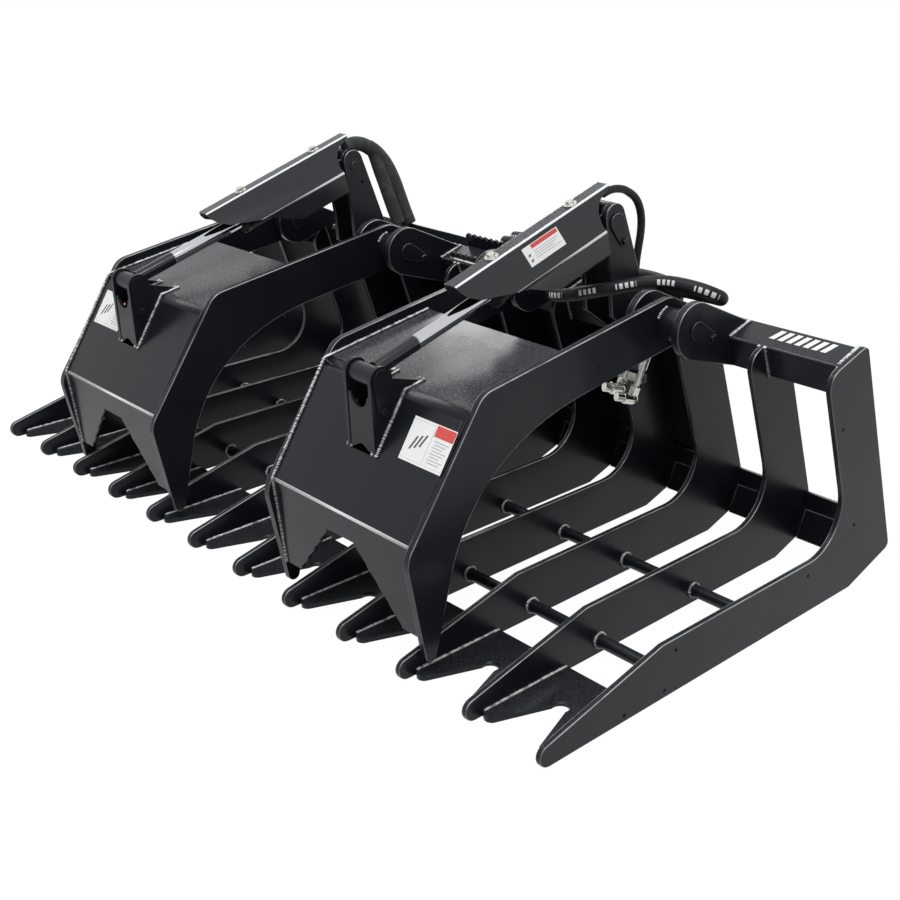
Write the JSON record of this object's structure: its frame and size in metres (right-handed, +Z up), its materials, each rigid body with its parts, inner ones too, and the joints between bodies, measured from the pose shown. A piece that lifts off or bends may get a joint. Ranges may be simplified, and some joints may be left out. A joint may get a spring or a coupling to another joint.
{
  "type": "skid_steer_root_grapple",
  "caption": "Skid steer root grapple: welded tine floor and back, toothed front edge, two separate lids with claw arms, each closed by a guarded hydraulic cylinder.",
  "frame": {"origin": "bottom centre of the bounding box, on the ground under the tine floor", "axes": "X is the width (longest), -Y the tine tips, +Z up"},
  "size_m": [2.134, 1.0628, 0.8089],
  "materials": {
    "frame_paint": "black semi-gloss paint on steel plate",
    "lid_paint": "black semi-gloss paint on steel plate",
    "cylinder_paint": "black semi-gloss paint on steel",
    "zinc": "zinc plated steel",
    "rod_chrome": "hard chromed and polished",
    "hose_rubber": "smooth black hose cover"
  },
  "bodies": {
    "frame": {"tine_1": "frame_paint", "tine_2": "frame_paint", "tine_3": "frame_paint", "tine_4": "frame_paint", "tine_5": "frame_paint", "tine_6": "frame_paint", "tine_7": "frame_paint", "tine_8": "frame_paint", "tine_9": "frame_paint", "tine_10": "frame_paint", "tine_11": "frame_paint", "tine_12": "frame_paint", "front_edge_plate": "frame_paint", "cross_bars": "frame_paint", "rear_lip": "frame_paint", "top_tube": "frame_paint", "coupler_plate": "frame_paint", "coupler_lower_lip": "frame_paint", "step_plate": "frame_paint", "hinge_brackets_right": "frame_paint", "hinge_brackets_left": "frame_paint", "cylinder_tower_right": "frame_paint", "cylinder_tower_left": "frame_paint", "hinge_pins_right": "frame_paint", "hinge_pins_left": "frame_paint", "base_pin_right": "frame_paint", "base_pin_left": "frame_paint", "frame_keeper_bolts": "zinc", "elbow_fittings": "zinc", "feed_hose": "hose_rubber", "cylinder_hose_right": "hose_rubber", "cylinder_hose_left": "hose_rubber"},
    "lid_right": {"lid_sides_right": "lid_paint", "lid_hubs_right": "lid_paint", "lid_cover_right": "lid_paint", "lid_clevis_right": "lid_paint", "rod_pin_right": "lid_paint"},
    "rod_right": {"piston_rod_right": "rod_chrome", "rod_eye_right": "lid_paint", "piston_right": "rod_chrome"},
    "cylinder_right": {"barrel_right": "cylinder_paint", "gland_right": "cylinder_paint", "guard_right": "cylinder_paint", "guard_posts_right": "cylinder_paint", "guard_bolts_right": "zinc"},
    "lid_left": {"lid_sides_left": "lid_paint", "lid_hubs_left": "lid_paint", "lid_cover_left": "lid_paint", "lid_clevis_left": "lid_paint", "rod_pin_left": "lid_paint"},
    "rod_left": {"piston_rod_left": "rod_chrome", "rod_eye_left": "lid_paint", "piston_left": "rod_chrome"},
    "cylinder_left": {"barrel_left": "cylinder_paint", "gland_left": "cylinder_paint", "guard_left": "cylinder_paint", "guard_posts_left": "cylinder_paint", "guard_bolts_left": "zinc"}
  },
  "joints": [
    {"name": "lid_hinge_right", "type": "hinge", "parent": "frame", "child": "lid_right", "pos_m": [0.47001, 0.1915, 0.557], "axis": [-1, 0, 0], "range_deg": [0, 50]},
    {"name": "rod_swivel_right", "type": "hinge", "parent": "lid_right", "child": "rod_right", "pos_m": [0.47001, -0.4085, 0.539], "axis": [1, 0, 0], "range_deg": [0, 2]},
    {"name": "cylinder_stroke_right", "type": "slide", "parent": "rod_right", "child": "cylinder_right", "axis": [0, -0.9591, -0.2831], "range_m": [0, 0.155]},
    {"name": "lid_hinge_left", "type": "hinge", "parent": "frame", "child": "lid_left", "pos_m": [-0.47001, 0.1915, 0.557], "axis": [-1, 0, 0], "range_deg": [0, 50]},
    {"name": "rod_swivel_left", "type": "hinge", "parent": "lid_left", "child": "rod_left", "pos_m": [-0.47001, -0.4085, 0.539], "axis": [1, 0, 0], "range_deg": [0, 2]},
    {"name": "cylinder_stroke_left", "type": "slide", "parent": "rod_left", "child": "cylinder_left", "axis": [0, -0.9591, -0.2831], "range_m": [0, 0.155]}
  ],
  "couplings": [
    {"joint": "rod_swivel_right", "follows": "lid_hinge_right", "ratio": 0.03833},
    {"joint": "cylinder_stroke_right", "follows": "lid_hinge_right", "m_per_rad": 0.17213},
    {"joint": "rod_swivel_left", "follows": "lid_hinge_left", "ratio": 0.03833},
    {"joint": "cylinder_stroke_left", "follows": "lid_hinge_left", "m_per_rad": 0.17213}
  ]
}
